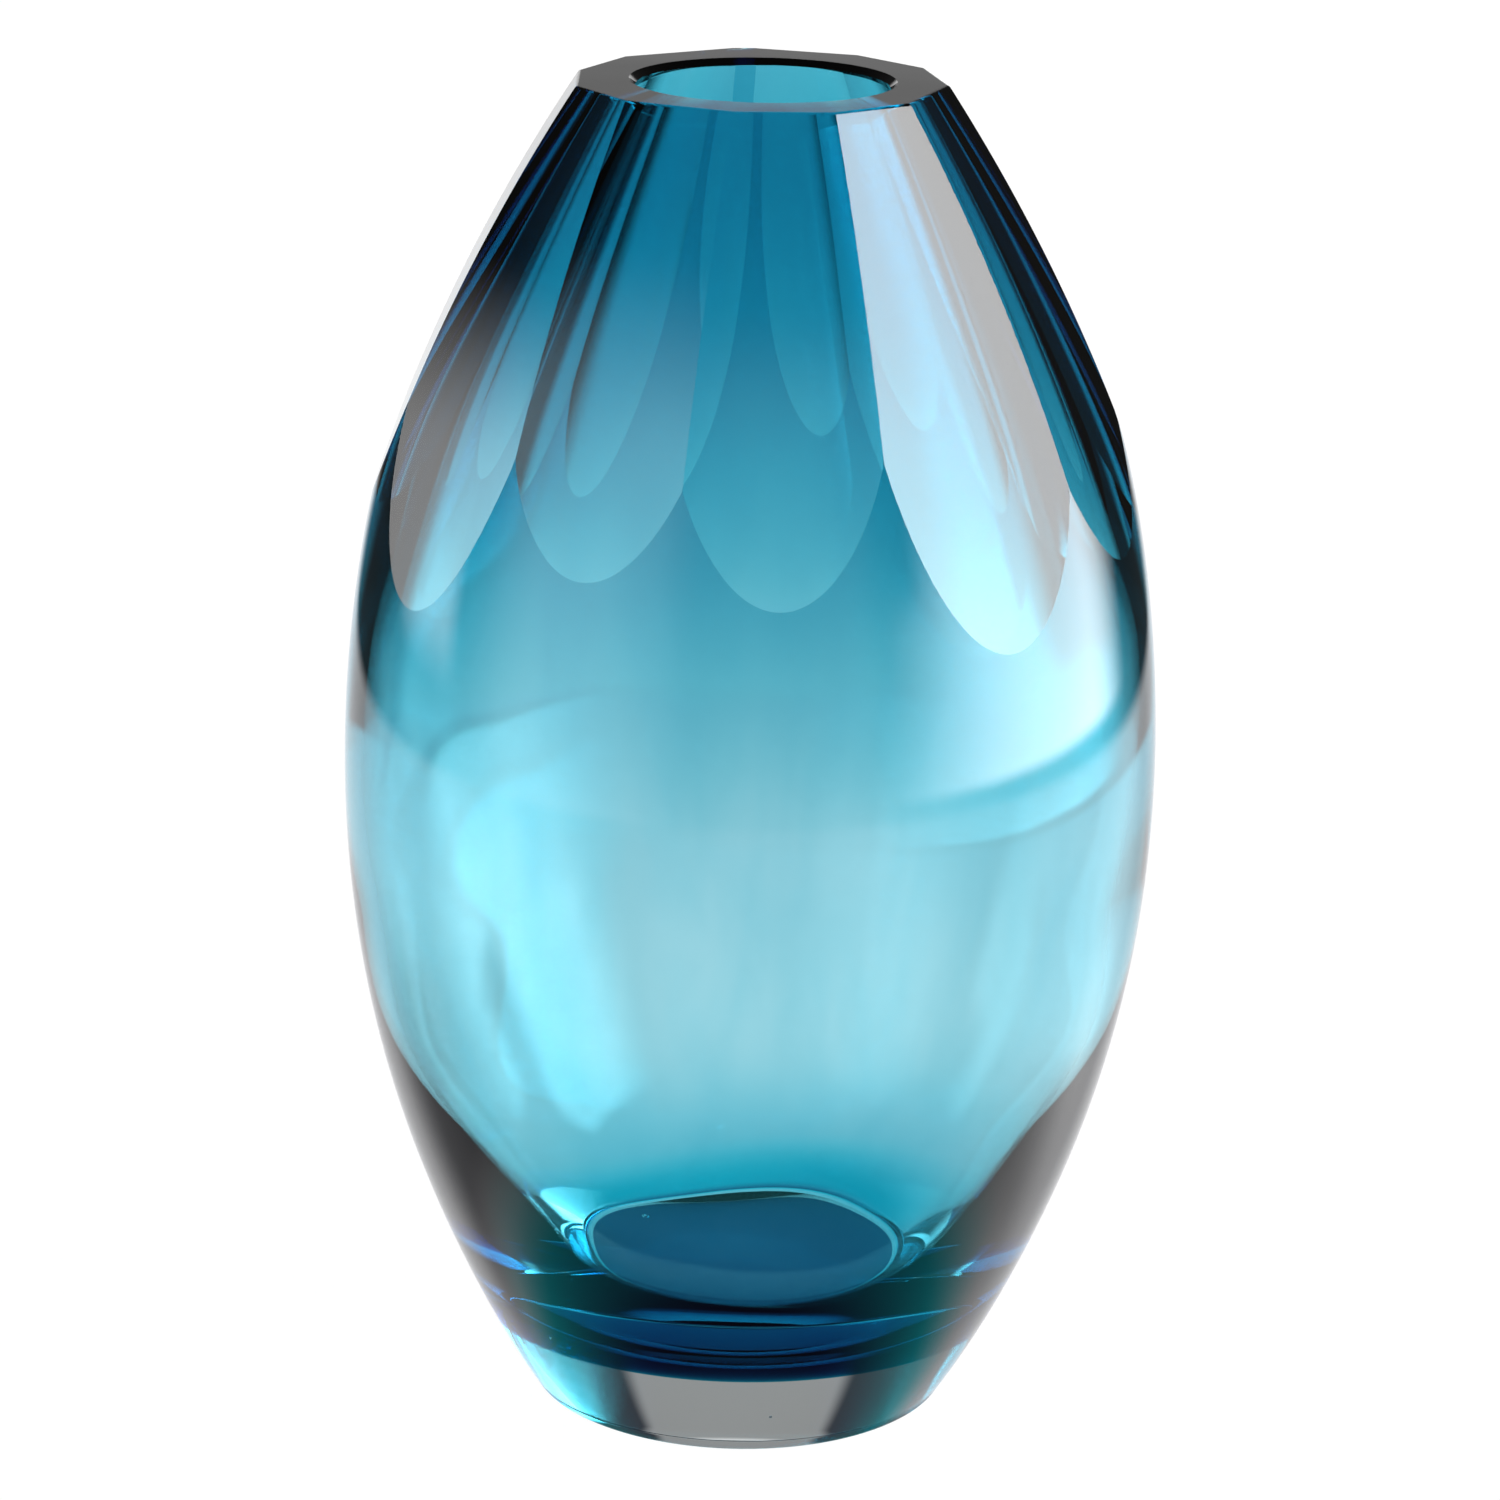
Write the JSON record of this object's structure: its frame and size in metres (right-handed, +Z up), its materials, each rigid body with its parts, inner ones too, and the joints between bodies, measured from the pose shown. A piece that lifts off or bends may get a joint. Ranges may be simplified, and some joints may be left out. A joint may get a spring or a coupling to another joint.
{
  "type": "vase",
  "caption": "Ovoid cased glass vase: blue lining in clear glass, thick clear foot, flat rim, and long facets cut down from the rim.",
  "frame": {"origin": "centre of the base, on the surface the vase stands on", "axes": "+Z up the vase's own axis, towards the mouth; -Y is the side seen in the main view, +X is to its right"},
  "size_m": [0.153, 0.153, 0.254],
  "materials": {
    "clear_glass": "fire polished and flat ground, gloss",
    "blue_glass": "transparent blue-teal, gloss"
  },
  "bodies": {
    "root": {"clear_outer_casing": "clear_glass", "blue_inner_layer": "blue_glass"}
  },
  "joints": []
}
